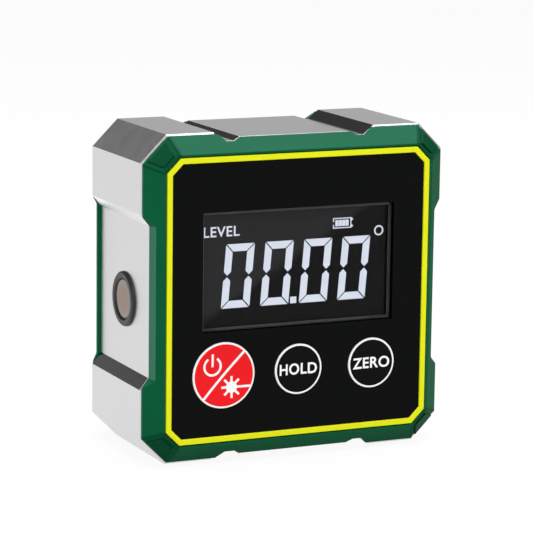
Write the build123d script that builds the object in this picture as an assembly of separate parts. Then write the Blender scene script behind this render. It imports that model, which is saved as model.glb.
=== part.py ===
from build123d import *
import os
from math import cos, pi, radians, sin, sqrt

# A square digital angle meter: an aluminium frame between two green plastic
# covers, a display and three keys in front, a laser aperture in the left wall
# and a battery bay behind. Millimetres. +X is the viewer's right, +Y the back,
# +Z up. The origin is the middle of the footprint, on the base.

# Overall size and the aluminium frame
width = 60.0
height = 60.0
depth = 30.0
frame_depth = 24.0
corner_leg = 4.9
edge_chamfer = 0.25
wall = 4.0
bore_corner_leg = 3.0
plane_tolerance = 0.01

# Relief in the left and right faces, and in the top and bottom faces
side_block = 14.1
side_step = 2.1
side_relief = 1.7
plateau_half = 10.9
plateau_relief = 0.95
notch_relief = 1.65
notch_floor_from = 12.0
notch_floor_to = 13.9
notch_block_edge = 15.9

# Sloped covers, with the back one's shallower side reliefs and lower top
cover_gap = 0.35
cover_lip = 0.35
slope_end = 3.35
land_end = 3.7
cover_notch_edge = 15.3
relief_draft_deg = 14.5
relief_corner = 0.7
rear_side_relief = 1.05
rear_side_step = 1.75
rear_drop = 0.35
past_edge = 1.0

# Raised facet in the middle of each corner of a slope, and the groove round it
facet_start = 0.42
facet_end = 2.72
facet_stand = 0.3
facet_edge = 0.12
groove_side = 0.82
groove_end = 0.36
groove_depth = 0.3
mitre_deg = 22.5

# Rim that locates a cover
skirt_clearance = 0.15
skirt_wall = 1.25
skirt_depth = 2.5

# Face sheet, its printed mask and the coloured ring
ring_outer = 3.95
ring_inner = 4.98
ring_edge = 0.08
pocket_floor = 1.5
ledge_back = 2.0
sheet_step = 0.3
sheet_thick = 1.1
sheet_gap = 0.04
mask_thick = 0.08
ledge_inner = 6.4
window_half = 18.4
window_low = 24.8
window_high = 45.4

# Display
glass_half = 20.5
glass_low = 24.3
glass_high = 48.7
glass_front = 1.9
glass_thick = 1.8
backlight_thick = 2.8
backlight_gap = 0.05
backlight_margin = 1.0
backlight_top_margin = 2.0
backlight_corner = 1.0
holder_step = 0.3
holder_side = 0.8
holder_end = 0.6
holder_play = 0.1
holder_corner = 0.8
holder_notch = (2.0, 2.0, 3.0)
holder_notch_low = 4.0
holder_notch_high = 6.0
pin_count = 12
pin_pitch = 2.2
pin_width = 0.5
pin_thick = 0.3
pin_from_top = 0.9
pin_gap = 0.02
digit_height = 11.7
digit_width = 5.6
digit_pitch = 7.75
digit_left = -14.8
digit_low = 28.1
digit_slant = 0.083
stroke = 1.35
segment_gap = 0.16
digit_thick = 0.08
point_side = 1.2
point_at = (-0.43, 28.75)

# Keys
key_height = 16.15
power_x, hold_x, zero_x = -14.75, 0.1, 14.95
power_radius = 6.1
small_radius = 4.7
key_clearance = 0.15
key_flange = 0.5
key_flange_gap = 0.05
key_dish = 0.25
dish_margin = 0.25
stem_radius = 2.2
ring_stroke = 0.36
bar_width = 0.45
bar_angle = 46.5
bar_overlap = 0.4
inlay_thick = 0.5
switch_side = 6.0
switch_corner = 0.5
switch_height = 3.4
switch_leg = (0.6, 1.8, 0.7)
switch_leg_hole = (0.8, 1.3, 0.9)
switch_leg_at = (3.3, 2.2)
plunger_radius = 1.7
plunger_edge = 0.2
plunger_stand = 0.7
plunger_depth = 1.5
plunger_sink = 0.9
plunger_clearance = 0.06

# Circuit board, and the blocks on its back as (x, z, width, height, thickness)
board_front = 7.4
board_thick = 1.2
board_half = 24.0
board_corner = 7.8
board_hole = 1.0
board_screw_radius = 0.75
board_screw_head = 1.6
board_screw_length = 4.6
chips = [
    (4.0, 34.0, 7.0, 7.0, 1.0),
    (-6.0, 38.0, 3.0, 5.0, 1.1),
    (12.0, 42.0, 3.0, 3.0, 1.2),
    (15.0, 33.0, 2.0, 1.2, 0.8),
    (15.0, 30.5, 2.0, 1.2, 0.8),
    (-6.0, 32.0, 2.0, 1.2, 0.8),
]
sensor_at = (4.0, 46.0)
sensor_side = 4.0
sensor_thick = 1.0
sensor_corner = 0.3

# Laser
laser_y = -0.45
laser_z = 28.6
laser_hole_radius = 5.08
laser_ring_radius = 5.03
laser_ring_stand = 0.62
laser_mouth_radius = 4.0
laser_lens_radius = 3.64
laser_lens_thick = 0.8
laser_lens_sink = 0.33
laser_bore_radius = 2.8
laser_edge = 0.25
lens_edge = 0.15
lens_gap = 0.05
bore_gap = 0.1
laser_bore_gap = 0.5
barrel_radius = 3.25
barrel_end = -13.2
barrel_groove = (4.0, 4.8)
barrel_groove_depth = 0.3
barrel_groove_side = 0.2
bracket_plate = (2.1, 11.0, 12.0)
bracket_plate_x = 1.15
bracket_foot = (7.0, 8.0, 2.0)
bracket_foot_at = (5.0, -5.0)
bracket_corner = 0.6
bracket_gap = 0.03

# Screw posts
post_at = 22.2
post_radius = 2.6
post_end = 9.0
pilot_radius = 1.0
pilot_depth = 9.0
shank_radius = 0.95
screw_length = 12.0
screw_hole = 1.1
head_radius = 1.9
head_seat = 13.0
head_thick = 1.4
head_clearance = 0.2
head_side = 0.7
head_crown = 0.5
tip_length = 0.6
tip_share = 0.6
recess_long = 2.2
recess_short = 0.45
recess_depth = 0.7
board_boss = (9.0, 22.8)
boss_radius = 2.0
boss_pilot = 0.8
boss_pilot_depth = 4.0

# Battery bay, cells and door
cell_radius = 5.25
cell_length = 44.5
cell_spacing = 10.8
cell_y = 8.05
bay_half = 11.0
bay_low = 6.2
bay_high = 54.6
bay_wall = 1.0
channel_floor = 13.35
door_face = 14.95
door_half = 12.6
door_low = 5.6
tongue = 1.0
tongue_thick = 0.7
door_play = 0.1
door_bevel = 3.0
door_bevel_step = 0.1
grip_width = 13.0
grip_height = 7.6
grip_depth = 0.6
grip_corner = 1.2
grip_z = 9.0
rib_count = 4
rib_pitch = 1.8
rib = (11.0, 0.5, 0.7)
rib_sink = 0.35
rear_lining = 5.4
rod_overlap = 0.5
tray_gap = 0.2
tray_flange = 1.6
tray_flange_side = 2.5
tray_flange_end = 0.3

# Cells, contacts and springs
cell_nub = 0.8
cell_nub_radius = 1.9
nub_edge = 0.2
cell_edge = 0.5
contact_thick = 0.3
contact_gap = 0.02
contact_play = 0.1
contact_low_y = 5.4
contact_high_y = 13.0
contact_width = 8.4
bridge_width = 20.0
spring_wire = 0.25
spring_turns = 3.5
spring_length = 2.6
spring_radius = 3.2
spring_narrowing = 0.25
spring_steps = 10
spring_gap = 0.05

# Magnets in the base
magnet_radius = 3.0
magnet_thick = 2.0
magnet_sink = 0.1
magnet_edge = 0.15
magnet_x = 20.5
magnet_y = 5.5

half_w = width / 2
half_h = height / 2
front = -depth / 2
back = depth / 2
seam = frame_depth / 2
band = back - seam
sheet_face = front + sheet_step
glass_face = front + glass_front
glass_back = glass_face + glass_thick
board_face = -board_front
board_back = board_face + board_thick
switch_face = board_face - switch_height


def upright(sketch, y, thickness):
    """A flat shape drawn as seen from the front, from y towards the back."""
    plane = Plane(origin=(0, y, half_h), x_dir=(1, 0, 0), z_dir=(0, -1, 0))
    return extrude(plane * sketch, amount=-thickness)


def moved_leg(leg, inset):
    """The leg of a cut corner after its outline has moved inwards by inset."""
    return leg - inset * (2 - sqrt(2))


def cut_corners(inset, leg):
    """A rectangle inside the body's outline with its corners cut off."""
    outline = Rectangle(width - 2 * inset, height - 2 * inset)
    return chamfer(outline.vertices(), leg)


def octagon(inset):
    """The body's outline without its reliefs, moved inwards by inset."""
    return cut_corners(inset, moved_leg(corner_leg, inset))


def four_ways(quarter):
    """A closed outline from the points of its upper right quarter."""
    right = quarter + [(x, -z) for x, z in reversed(quarter)]
    left = [(-x, z) for x, z in reversed(right)]
    return make_face(Polyline(*(right + left), close=True))


def frame_outline():
    return four_ways([
        (plateau_half, half_h - plateau_relief),
        (notch_floor_from, half_h - notch_relief),
        (notch_floor_to, half_h - notch_relief),
        (notch_block_edge, half_h),
        (half_w - corner_leg, half_h),
        (half_w, half_h - corner_leg),
        (half_w, half_h - side_block),
        (half_w - side_relief, half_h - side_block - side_step),
    ])


def rod(radius, start, length, x, z):
    """A round bar along Y."""
    return upright(Pos(x, z - half_h) * Circle(radius), start, length)


def corners(distance):
    return [(sx * distance, half_h + sz * distance) for sx in (-1, 1) for sz in (-1, 1)]


def body_frame():
    """The machined aluminium frame, open front and back."""
    solid = upright(frame_outline(), -seam, frame_depth)
    rims = solid.edges().filter_by(lambda e: abs(abs(e.center().Y) - seam) < plane_tolerance)
    solid = chamfer(rims, edge_chamfer)
    solid -= upright(cut_corners(wall, bore_corner_leg), -seam, frame_depth)
    port = Plane.YZ * Pos(laser_y, laser_z) * Circle(laser_hole_radius)
    solid -= extrude(port, amount=-width)
    for x, y in magnet_places():
        solid -= Pos(x, y, (magnet_thick + magnet_sink) / 2) * Cylinder(
            magnet_radius + magnet_sink, magnet_thick + magnet_sink)
    return solid


def magnet_places():
    return [(sx * magnet_x, sy * magnet_y) for sx in (-1, 1) for sy in (-1, 1)]


def base_magnets():
    disc = chamfer(Cylinder(magnet_radius, magnet_thick).edges(), magnet_edge)
    return [Pos(x, y, magnet_sink + magnet_thick / 2) * disc for x, y in magnet_places()]


def relief_cuts(side_depth, side_run, drop):
    """What the reliefs take out of a cover, seen from the front: at a side,
    and along the top with its plateau and notches lowered by drop."""
    beyond = 2.0
    side = Polyline(
        (half_w + beyond, side_block - half_h - beyond * side_run / side_depth),
        (half_w, side_block - half_h),
        (half_w - side_depth, side_block + side_run - half_h),
        (half_w - side_depth, half_h - side_block - side_run),
        (half_w, half_h - side_block),
        (half_w + beyond, half_h - side_block + beyond * side_run / side_depth),
        close=True)
    side = make_face(side)
    inner = side.vertices().filter_by(lambda v: abs(v.X - half_w + side_depth) < plane_tolerance)
    run = cover_notch_edge - notch_floor_to
    rise = notch_relief - cover_gap
    top = make_face(Polyline(
        (notch_floor_to + run * (notch_relief + beyond) / rise, half_h + beyond),
        (notch_floor_to, half_h - notch_relief),
        (notch_floor_from, half_h - notch_relief),
        (plateau_half, half_h - plateau_relief),
        (-plateau_half, half_h - plateau_relief),
        (-notch_floor_from, half_h - notch_relief),
        (-notch_floor_to, half_h - notch_relief),
        (-notch_floor_to - run * (notch_relief + beyond) / rise, half_h + beyond),
        close=True))
    return fillet(inner, relief_corner), Pos(0, -drop) * top


def corner_part(inset_out, inset_in, narrower):
    """The piece of a corner's slope between two insets, seen from the front,
    with its two mitred sides moved in by narrower."""
    points = []
    shift = narrower / cos(radians(mitre_deg))
    for inset in (inset_out, inset_in):
        leg = moved_leg(corner_leg, inset)
        side = half_w - inset
        along = shift / sqrt(2)
        points.append((side - leg + along, side - along))
        points.append((side - along, side - leg + along))
    a, b, c, d = points
    return make_face(Polyline(a, b, d, c, close=True))


def four_corners(solid):
    """The piece at the upper right, and its mirror images at the other corners."""
    upper = [solid, mirror(solid, Plane.YZ)]
    return upper + [Pos(0, 0, height) * mirror(s, Plane.XY) for s in upper]


def corner_facet(slope):
    """A facet that stands off the slope, its edges broken."""
    facet = upright(corner_part(facet_start, facet_end, groove_side), front, band)
    facet &= Pos(0, -facet_stand, 0) * slope
    outward = Vector(1, -sqrt(2), 1).normalized()
    face = facet.faces().sort_by(lambda f: f.normal_at().dot(outward))[-1]
    return chamfer(face.edges(), facet_edge)


def sloped_cover(side_depth, side_run, drop):
    """The band around the front cover: an upright lip, then a slope, relieved
    like the frame and with a facet in a groove at each corner."""
    plane = Plane(origin=(0, -seam, half_h), x_dir=(1, 0, 0), z_dir=(0, -1, 0))
    outer = octagon(cover_gap)
    slope = upright(outer, -seam - cover_lip, cover_lip)
    slope += loft([Pos(0, -cover_lip, 0) * (plane * outer), Pos(0, -band, 0) * (plane * octagon(slope_end))])
    groove = upright(corner_part(-past_edge, facet_end + groove_end, 0), front, band)
    groove &= slope - Pos(0, groove_depth, 0) * slope
    facets = four_corners(corner_facet(slope))
    for cut in four_corners(groove):
        slope -= cut
    for facet in facets:
        slope += facet
    side, top = relief_cuts(side_depth, side_run, drop)
    side_cut = extrude(plane * side, amount=band, taper=-relief_draft_deg)
    top_cut = extrude(plane * top, amount=band)
    for cut in (side_cut, mirror(side_cut, Plane.YZ)):
        slope -= cut
    for cut in (top_cut, Pos(0, 0, height) * mirror(top_cut, Plane.XY)):
        slope -= cut
    return slope


def skirt():
    """The rim that locates a cover inside the frame, at the front."""
    leg = moved_leg(bore_corner_leg, skirt_clearance)
    outer = cut_corners(wall + skirt_clearance, leg)
    inner = cut_corners(wall + skirt_clearance + skirt_wall, moved_leg(leg, skirt_wall))
    return upright(outer - inner, -seam, skirt_depth)


def front_bezel(slope):
    solid = slope + skirt()
    solid -= upright(octagon(land_end), front, pocket_floor)
    solid -= upright(octagon(ledge_inner), front, band)
    start = front + ledge_back
    for x, z in corners(post_at):
        solid += rod(post_radius, start, post_end - start, x, z)
    for x, z in boss_places():
        solid += rod(boss_radius, start, board_face - start, x, z)
    for x, z in corners(post_at):
        solid -= rod(pilot_radius, post_end - pilot_depth, pilot_depth, x, z)
    for x, z in boss_places():
        solid -= rod(boss_pilot, board_face - boss_pilot_depth, boss_pilot_depth, x, z)
    return solid


def boss_places():
    x, z = board_boss
    return [(sx * x, half_h + sz * z) for sx in (-1, 1) for sz in (-1, 1)]


def accent_ring():
    ring = upright(octagon(ring_outer) - octagon(ring_inner), front, pocket_floor)
    rim = ring.edges().filter_by(lambda e: abs(e.center().Y - front) < plane_tolerance)
    return chamfer(rim, ring_edge)


def face_outline():
    """The face sheet's outline inside the ring, with its three key holes."""
    face = octagon(ring_inner + sheet_gap)
    for x, radius in key_list():
        face -= Pos(x, key_height - half_h) * Circle(radius + key_clearance)
    return face


def key_list():
    return [(power_x, power_radius), (hold_x, small_radius), (zero_x, small_radius)]


def front_panel():
    """The clear acrylic sheet that covers the display and rings the keys."""
    return upright(face_outline(), sheet_face, sheet_thick)


def panel_mask():
    """The dark print behind the sheet, open in front of the display."""
    low, high = window_low - half_h, window_high - half_h
    window = Pos(0, (low + high) / 2) * Rectangle(2 * window_half, high - low)
    return upright(face_outline() - window, sheet_face + sheet_thick, mask_thick)


def behind_window(grow_side, grow_low, grow_high):
    """The display glass's outline, made larger by the given amounts."""
    low = glass_low - grow_low - half_h
    high = glass_high + grow_high - half_h
    return Pos(0, (low + high) / 2) * Rectangle(2 * (glass_half + grow_side), high - low)


def lcd_panel():
    return upright(behind_window(0, 0, 0), glass_face, glass_thick)


def lcd_backlight():
    sheet = behind_window(-backlight_margin, -backlight_margin, -backlight_top_margin)
    sheet = fillet(sheet.vertices(), backlight_corner)
    return upright(sheet, glass_back + backlight_gap, backlight_thick)


def lcd_holder():
    """The black carrier that holds glass and backlight over the board."""
    start = glass_face + holder_step
    length = board_face - start
    outer = behind_window(holder_side, holder_end, holder_end)
    body = upright(fillet(outer.vertices(), holder_corner), start, length)
    body -= upright(behind_window(holder_play, holder_play, holder_play), start, length)
    notch = Box(*holder_notch)
    for sx in (-1, 1):
        for z in (glass_low + holder_notch_low, glass_high - holder_notch_high):
            body -= Pos(sx * (glass_half + holder_side / 2), board_face - holder_notch[1] / 2, z) * notch
    return body


def lcd_pins():
    """The row of pins from the glass's upper ledge down to the board."""
    start = glass_back + pin_gap
    pin = Box(pin_width, board_face - start, pin_thick)
    first = -pin_pitch * (pin_count - 1) / 2
    return [Pos(first + pin_pitch * i, (start + board_face) / 2, glass_high - pin_from_top) * pin
            for i in range(pin_count)]


def segment_faces():
    """Six lit segments of a nought, each a bar with bevelled ends."""
    w, h, s, g = digit_width, digit_height, stroke, segment_gap
    middle = h / 2
    top = [(g, h), (w - g, h), (w - s - g, h - s), (s + g, h - s)]
    bottom = [(x, h - z) for x, z in top]
    upper = [(0, h - g), (s, h - s - g), (s, middle + s / 2 + g), (s / 2, middle + g),
             (0, middle + s / 2 + g)]
    lower = [(x, h - z) for x, z in upper]
    right_upper = [(w - x, z) for x, z in upper]
    right_lower = [(w - x, z) for x, z in lower]
    return [top, bottom, upper, lower, right_upper, right_lower]


def display_digits():
    """Four slanted noughts and a decimal point on the display glass."""
    start = glass_face - digit_thick
    out = []
    for place in range(4):
        left = digit_left + place * digit_pitch
        for points in segment_faces():
            slanted = [(left + x + digit_slant * z, digit_low + z - half_h) for x, z in points]
            out.append(upright(make_face(Polyline(*slanted, close=True)), start, digit_thick))
    x, z = point_at
    out.append(upright(Pos(x, z - half_h) * Rectangle(point_side, point_side), start, digit_thick))
    return out


def turned(points, x, z):
    """A piece turned about a key's axis, from (radius, y) points."""
    return Pos(x, 0, z) * revolve(make_face(Polyline(*points, close=True)), Axis.Y)


def key(x, radius):
    """A key cap with a dished face, a groove for its inlaid ring, a flange
    that the sheet holds in, and a stem over its switch."""
    shelf = sheet_face + sheet_thick + mask_thick + key_flange_gap
    groove = sheet_face + inlay_thick
    flange = radius + key_flange
    stem = switch_face - plunger_stand
    cap = turned([
        (0, sheet_face), (radius - ring_stroke, sheet_face), (radius - ring_stroke, groove),
        (radius, groove), (radius, shelf), (flange, shelf),
        (flange, shelf + key_flange), (stem_radius, shelf + key_flange),
        (stem_radius, stem), (0, stem)], x, key_height)
    return cap - dish(x, radius)


def dish(x, radius):
    """The ball that hollows a key's face inside its ring."""
    reach = radius - ring_stroke - dish_margin
    ball = (reach ** 2 + key_dish ** 2) / (2 * key_dish)
    return Pos(x, sheet_face + key_dish - ball, key_height) * Sphere(ball)


def key_ring(x, radius):
    inner = radius - ring_stroke
    deep = sheet_face + inlay_thick
    return turned([(inner, sheet_face), (radius - ring_edge, sheet_face), (radius, sheet_face + ring_edge),
                   (radius, deep), (inner, deep)], x, key_height)


def power_key_parts():
    """The red cap, and the white inlay: a ring crossed by a slanting bar."""
    cap = key(power_x, power_radius)
    ring = key_ring(power_x, power_radius)
    reach = 2 * (power_radius - ring_stroke) + bar_overlap
    bar = Pos(power_x, key_height - half_h) * Rot(0, 0, bar_angle) * Rectangle(reach, bar_width)
    bar = upright(bar, sheet_face, inlay_thick)
    cap -= bar
    ring += bar - dish(power_x, power_radius)
    return cap, ring


def switch_leg_places(x):
    """Where the four legs of the switch under the key at x meet the board."""
    dx, dz = switch_leg_at
    return [Pos(x + sx * dx, board_face + board_thick / 2, key_height + sz * dz)
            for sx in (-1, 1) for sz in (-1, 1)]


def switch_housings():
    """Three tactile switch bodies, each open in front for its plunger."""
    out = []
    square = fillet(Rectangle(switch_side, switch_side).vertices(), switch_corner)
    for x, _ in key_list():
        body = upright(Pos(x, key_height - half_h) * square, switch_face, switch_height)
        body -= rod(plunger_radius + plunger_clearance, switch_face, plunger_depth, x, key_height)
        for place in switch_leg_places(x):
            body += place * Box(*switch_leg)
        out.append(body)
    return out


def switch_plunger(x):
    start = switch_face - plunger_stand
    end = switch_face + plunger_sink
    return turned([
        (0, start), (plunger_radius - plunger_edge, start), (plunger_radius, start + plunger_edge),
        (plunger_radius, end), (0, end)], x, key_height)


def circuit_board():
    outline = cut_corners(half_w - board_half, board_corner)
    board = upright(outline, board_face, board_thick)
    for x, z in boss_places():
        board -= rod(board_hole, board_face, board_thick, x, z)
    for x, _ in key_list():
        for place in switch_leg_places(x):
            board -= place * Box(*switch_leg_hole)
    return board


def board_chips():
    """The processor, the supply regulator and a few larger parts on the board."""
    return [Pos(x, board_back + t / 2, z) * Box(w, t, h) for x, z, w, h, t in chips]


def tilt_sensor():
    x, z = sensor_at
    body = Pos(x, board_back + sensor_thick / 2, z) * Box(sensor_side, sensor_thick, sensor_side)
    return chamfer(body.edges().filter_by(Axis.Y), sensor_corner)


def small_screw(radius, head, start, length, x, z):
    """A cross-head screw along Y, head towards the back at y = start."""
    tip = start - length
    top = start + head_thick
    body = turned([(0, tip), (radius * tip_share, tip), (radius, tip + tip_length),
                   (radius, start), (head, start), (head, start + head_side), (head - head_crown, top),
                   (0, top)], x, z)
    scale = head / head_radius
    for across, along in ((recess_long, recess_short), (recess_short, recess_long)):
        body -= Pos(x, top, z) * Box(across * scale, 2 * recess_depth, along * scale)
    return body


def cover_screws():
    return [small_screw(shank_radius, head_radius, head_seat, screw_length, x, z)
            for x, z in corners(post_at)]


def board_screws():
    return [small_screw(board_screw_radius, board_screw_head, board_back, board_screw_length, x, z)
            for x, z in boss_places()]


def sideways(points):
    """A piece turned about the laser's axis, from (radius, x) points."""
    face = make_face(Polyline(*[(x, r) for r, x in points], close=True))
    return Pos(0, laser_y, laser_z) * revolve(face, Axis.X)


def laser_pieces():
    """The dark aperture ring, its glass, the brass barrel and its bracket."""
    outside = -half_w + side_relief
    inside = -half_w + wall
    rim = outside - laser_ring_stand
    glass = rim + laser_lens_sink
    seat = glass + laser_lens_thick
    socket = laser_lens_radius + lens_gap
    ring = sideways([
        (laser_mouth_radius, rim), (laser_ring_radius - laser_edge, rim),
        (laser_ring_radius, rim + laser_edge), (laser_ring_radius, inside),
        (laser_bore_radius, inside), (laser_bore_radius, seat), (socket, seat), (socket, glass)])
    lens = sideways([
        (0, glass), (laser_lens_radius - lens_edge, glass), (laser_lens_radius, glass + lens_edge),
        (laser_lens_radius, seat), (0, seat)])
    nose = laser_bore_radius - bore_gap
    shoulder = inside + bore_gap
    near, far = (inside + x for x in barrel_groove)
    waist = barrel_radius - barrel_groove_depth
    barrel = sideways([
        (0, seat + laser_bore_gap), (nose, seat + laser_bore_gap), (nose, shoulder),
        (barrel_radius, shoulder), (barrel_radius, near), (waist, near + barrel_groove_side),
        (waist, far - barrel_groove_side), (barrel_radius, far), (barrel_radius, barrel_end),
        (0, barrel_end)])
    foot_x, foot_z = bracket_foot_at
    bracket = Pos(inside + bracket_plate_x, laser_y, laser_z) * Box(*bracket_plate)
    bracket += Pos(inside + foot_x, laser_y, laser_z + foot_z) * Box(*bracket_foot)
    bracket = fillet(bracket.edges().filter_by(Axis.X), bracket_corner)
    seat_radius = barrel_radius + bracket_gap
    bracket -= sideways([(0, inside), (seat_radius, inside), (seat_radius, barrel_end), (0, barrel_end)])
    return ring, lens, barrel, bracket


def rear_cover(slope):
    """The back cover: the same sloped band, with the battery bay, the door's
    channel and the screw bosses."""
    solid = mirror(slope + skirt(), Plane.XZ)
    solid -= upright(octagon(rear_lining), seam, head_seat - seam)
    low, high = bay_low - bay_wall, bay_high + bay_wall
    tray_y = cell_y - cell_radius - tray_gap - bay_wall
    solid += Pos(0, (tray_y + channel_floor) / 2, (low + high) / 2) * Box(
        2 * (bay_half + bay_wall), channel_floor - tray_y, high - low)
    flange_height = height - 2 * (wall + skirt_clearance + tray_flange_end)
    solid += Pos(0, channel_floor - tray_flange / 2, half_h) * Box(
        2 * (door_half + tray_flange_side), tray_flange, flange_height)
    for x, z in corners(post_at):
        solid += rod(post_radius, post_end, head_seat - post_end + rod_overlap, x, z)
    solid -= bay_space()
    solid -= door_channel()
    for x, z in corners(post_at):
        solid -= rod(screw_hole, post_end, back - post_end, x, z)
        solid -= rod(head_radius + head_clearance, head_seat, back - head_seat, x, z)
    return solid


def bay_space():
    """Two round troughs for the cells, open to the back."""
    length = bay_high - bay_low
    space = Pos(0, (cell_y + channel_floor) / 2, bay_low + length / 2) * Box(
        2 * bay_half, channel_floor - cell_y, length)
    for sx in (-1, 1):
        space += Pos(sx * cell_spacing / 2, cell_y, bay_low + length / 2) * Cylinder(
            cell_radius + tray_gap, length)
    return space


def door_outline(grow):
    """The door's plate and tongues, as seen from above."""
    half = door_half + grow
    low = channel_floor + door_play - grow
    step = channel_floor + door_play + tongue_thick + grow
    edge = half + tongue
    return make_face(Polyline(
        (-half, door_face), (-half, step), (-edge, step), (-edge, low), (edge, low), (edge, step),
        (half, step), (half, door_face), close=True))


def door_channel():
    """The space that the door slides in, open at the top through the slope."""
    mouth = Rectangle(2 * (door_half + door_play), back - door_face + 2 * door_play)
    outline = door_outline(door_play) + Pos(0, (door_face + back) / 2) * mouth
    low = door_low - door_play
    return extrude(Plane.XY.offset(low) * outline, amount=height - low)


def battery_door():
    """A sliding door with side tongues, a finger grip and a bevelled end that
    carries on the cover's slope."""
    plate = extrude(Plane.XY.offset(door_low) * door_outline(0), amount=height - door_low)
    run = (slope_end - cover_gap) / (band - cover_lip)
    end_z = height - slope_end - door_bevel_step
    inner_y = back - door_bevel
    wedge = Plane.YZ * make_face(Polyline(
        (back, end_z), (inner_y, end_z + door_bevel * run),
        (inner_y, height + past_edge), (back, height + past_edge), close=True))
    plate -= extrude(wedge, amount=half_w, both=True)
    grip = Pos(0, door_face, door_low + grip_z) * Box(grip_width, 2 * grip_depth, grip_height)
    plate -= fillet(grip.edges().filter_by(Axis.Y), grip_corner)
    lowest = door_low + grip_z - rib_pitch * (rib_count - 1) / 2
    for i in range(rib_count):
        plate += Pos(0, door_face - rib_sink, lowest + rib_pitch * i) * Box(*rib)
    return plate


def battery_cells():
    """Two round cells side by side, one each way up."""
    body = cell_length - cell_nub
    rim = cell_radius - cell_edge
    profile = [(0, 0), (rim, 0), (cell_radius, cell_edge), (cell_radius, body - cell_edge),
               (rim, body), (cell_nub_radius, body), (cell_nub_radius, cell_length - nub_edge),
               (cell_nub_radius - nub_edge, cell_length), (0, cell_length)]
    cell = revolve(Plane.XZ * make_face(Polyline(*profile, close=True)), Axis.Z)
    low = bay_high - contact_thick - contact_play - cell_length
    high = bay_low + contact_thick + contact_play + cell_length
    first = Pos(-cell_spacing / 2, cell_y, low) * cell
    second = Pos(cell_spacing / 2, cell_y, high) * Rot(180, 0, 0) * cell
    return first, second


def battery_contacts():
    """Plated strips at the bay's ends: a bridge at the bottom, two at the top."""
    def strip(x, z, wide, from_y):
        return Pos(x, (from_y + contact_high_y) / 2, z) * Box(wide, contact_high_y - from_y, contact_thick)
    low = bay_low + contact_thick / 2 + contact_gap
    high = bay_high - contact_thick / 2 - contact_gap
    side = cell_spacing / 2
    bridge = strip(0, low, bridge_width, cell_y + contact_play)
    for x in (-side, side):
        bridge += strip(x, low, contact_width, contact_low_y)
    return [bridge] + [strip(x, high, contact_width, contact_low_y) for x in (-side, side)]


def battery_springs():
    """A narrowing coil of wire on each cell's flat end."""
    count = round(spring_turns * spring_steps)
    points = []
    for i in range(count + 1):
        share = i / count
        turn = 2 * pi * spring_turns * share
        radius = spring_radius * (1 - spring_narrowing * share)
        points.append((radius * cos(turn), radius * sin(turn), spring_length * share))
    line = Polyline(*points)
    wire = Plane(origin=line @ 0, z_dir=line % 0) * Circle(spring_wire)
    spring = sweep(wire, path=line, transition=Transition.RIGHT)
    reach = contact_thick + spring_gap + spring_wire
    first = Pos(-cell_spacing / 2, cell_y, bay_low + reach) * spring
    second = Pos(cell_spacing / 2, cell_y, bay_high - reach) * Rot(180, 0, 0) * spring
    return [first, second]


def save(name, shape):
    """Write one sub-part. A list is a group of separate solids."""
    solids = []
    for item in (shape if isinstance(shape, list) else [shape]):
        solids += item.solids()
    group = solids[0] if len(solids) == 1 else Compound(children=solids)
    group.label = name
    export_step(group, f"parts/{name}.step")


def main():
    os.makedirs("parts", exist_ok=True)
    save("body_frame", body_frame())
    save("front_bezel", front_bezel(sloped_cover(side_relief, side_step, 0)))
    save("rear_cover", rear_cover(sloped_cover(rear_side_relief, rear_side_step, rear_drop)))
    save("accent_ring", accent_ring())
    save("front_panel", front_panel())
    save("panel_mask", panel_mask())
    save("lcd_panel", lcd_panel())
    save("lcd_backlight", lcd_backlight())
    save("lcd_holder", lcd_holder())
    save("lcd_pins", lcd_pins())
    save("display_digits", display_digits())
    power_cap, power_inlay = power_key_parts()
    save("power_key", power_cap)
    save("power_key_inlay", power_inlay)
    for name, x in (("hold", hold_x), ("zero", zero_x)):
        save(f"{name}_key", key(x, small_radius))
        save(f"{name}_key_ring", key_ring(x, small_radius))
    for name, x in (("power", power_x), ("hold", hold_x), ("zero", zero_x)):
        save(f"{name}_switch_plunger", switch_plunger(x))
    save("switch_housings", switch_housings())
    save("circuit_board", circuit_board())
    save("board_chips", board_chips())
    save("tilt_sensor", tilt_sensor())
    save("board_screws", board_screws())
    save("cover_screws", cover_screws())
    ring, lens, barrel, bracket = laser_pieces()
    save("laser_ring", ring)
    save("laser_lens", lens)
    save("laser_barrel", barrel)
    save("laser_bracket", bracket)
    save("base_magnets", base_magnets())
    save("battery_door", battery_door())
    first, second = battery_cells()
    save("battery_cell_left", first)
    save("battery_cell_right", second)
    save("battery_contacts", battery_contacts())
    save("battery_springs", battery_springs())


main()
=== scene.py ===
import math

import bmesh
import bpy
from bpy.props import FloatProperty, FloatVectorProperty, IntProperty, PointerProperty
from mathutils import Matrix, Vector


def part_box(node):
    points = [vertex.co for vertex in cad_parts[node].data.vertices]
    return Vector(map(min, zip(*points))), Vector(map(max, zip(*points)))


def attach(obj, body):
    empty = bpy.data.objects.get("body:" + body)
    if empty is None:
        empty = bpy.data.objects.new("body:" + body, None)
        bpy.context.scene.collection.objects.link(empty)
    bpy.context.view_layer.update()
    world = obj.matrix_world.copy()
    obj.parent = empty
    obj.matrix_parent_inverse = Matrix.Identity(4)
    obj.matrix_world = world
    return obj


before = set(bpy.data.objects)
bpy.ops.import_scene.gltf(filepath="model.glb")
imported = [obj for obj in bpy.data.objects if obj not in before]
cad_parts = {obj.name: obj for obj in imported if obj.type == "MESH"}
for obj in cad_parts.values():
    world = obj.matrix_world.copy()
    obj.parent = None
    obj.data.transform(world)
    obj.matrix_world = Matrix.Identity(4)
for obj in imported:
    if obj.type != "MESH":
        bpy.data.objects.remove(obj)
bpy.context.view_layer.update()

bl_info = {
    "name": "Square Angle Meter",
    "version": (1, 0, 0),
    "blender": (4, 5, 0),
    "location": "3D View > Sidebar > Angle Meter",
    "description": "Finishes, display marks, key legends and studio for a square digital angle meter",
    "category": "Object",
}

MM = 0.001

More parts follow.
